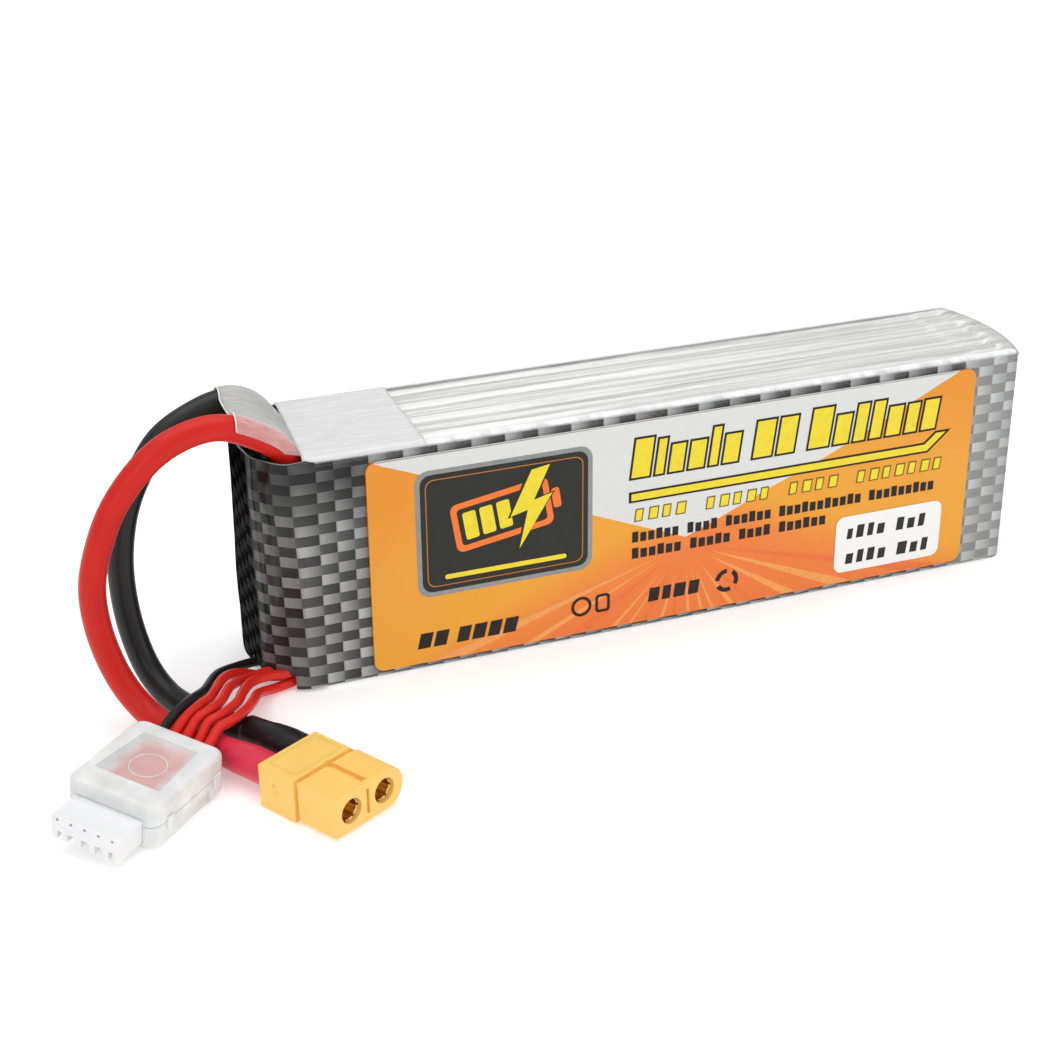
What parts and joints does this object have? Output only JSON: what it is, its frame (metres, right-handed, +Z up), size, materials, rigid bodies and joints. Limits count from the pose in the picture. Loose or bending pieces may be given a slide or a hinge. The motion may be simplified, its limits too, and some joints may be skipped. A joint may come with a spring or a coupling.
{
  "type": "lipo battery pack",
  "caption": "Flat lithium polymer battery pack with two main leads to a keyed bullet connector and a balance lead whose plug has a clip-on grip.",
  "frame": {"origin": "on the resting face, under the middle of the pack without its leads", "axes": "+X along the pack away from the leads, +Z up the pack's height, the labelled front faces -Y"},
  "size_m": [0.1884, 0.0728, 0.0522],
  "materials": {
    "pouch_foil": "satin laminated foil with soft creases",
    "aluminium_tab": "plain rolled",
    "copper_tab": "plain rolled copper",
    "white_foam": "matte foam",
    "board": "solder resist",
    "solder": "bright solder",
    "carbon_print": "glossy printed checker weave",
    "clear_film": "clear heat-shrink film",
    "printed_label": "gloss printed paper",
    "white_sticker": "satin paper",
    "frosted_tape": "frosted film",
    "red_silicone": "satin silicone",
    "black_silicone": "satin silicone",
    "red_sleeve": "satin heat-shrink",
    "black_sleeve": "satin heat-shrink",
    "amber_nylon": "moulded nylon, satin",
    "gold_plate": "gold plated",
    "black_wire": "satin silicone",
    "red_wire": "satin silicone",
    "white_nylon": "moulded nylon",
    "tin_plate": "tin plated",
    "frosted_grip": "frosted clear plastic"
  },
  "bodies": {
    "pack": {"cell_1": "pouch_foil", "cell_1_positive_tab": "aluminium_tab", "cell_1_negative_tab": "copper_tab", "adhesive_pad_1": "white_foam", "cell_2": "pouch_foil", "cell_2_positive_tab": "aluminium_tab", "cell_2_negative_tab": "copper_tab", "adhesive_pad_2": "white_foam", "cell_3": "pouch_foil", "cell_3_positive_tab": "aluminium_tab", "cell_3_negative_tab": "copper_tab", "adhesive_pad_3": "white_foam", "cell_4": "pouch_foil", "cell_4_positive_tab": "aluminium_tab", "cell_4_negative_tab": "copper_tab", "tab_board": "board", "red_solder_joint": "solder", "black_solder_joint": "solder", "nose_insulation_pad": "white_foam", "tail_foam_pad": "white_foam", "carbon_print_cover": "carbon_print", "clear_shrink_film": "clear_film", "front_label": "printed_label", "back_label": "printed_label", "rating_sticker": "white_sticker", "tape_patch": "frosted_tape", "lead_film_collar": "clear_film", "red_lead": "red_silicone", "red_heat_shrink": "red_sleeve", "black_lead": "black_silicone", "black_heat_shrink": "black_sleeve", "main_connector_housing": "amber_nylon", "main_contact_positive": "gold_plate", "main_contact_negative": "gold_plate", "balance_wire_1": "black_wire", "balance_wire_2": "red_wire", "balance_wire_3": "red_wire", "balance_wire_4": "red_wire", "balance_wire_5": "red_wire", "balance_plug_housing": "white_nylon", "balance_contact_1": "tin_plate", "balance_contact_2": "tin_plate", "balance_contact_3": "tin_plate", "balance_contact_4": "tin_plate", "balance_contact_5": "tin_plate", "grip_base": "frosted_grip"},
    "grip_cover": {"grip_cover": "frosted_grip"}
  },
  "joints": [
    {"name": "grip_cover_lift", "type": "slide", "parent": "pack", "child": "grip_cover", "axis": [0.0763, -0.0812, 0.9938], "range_m": [0, 0.012]}
  ]
}
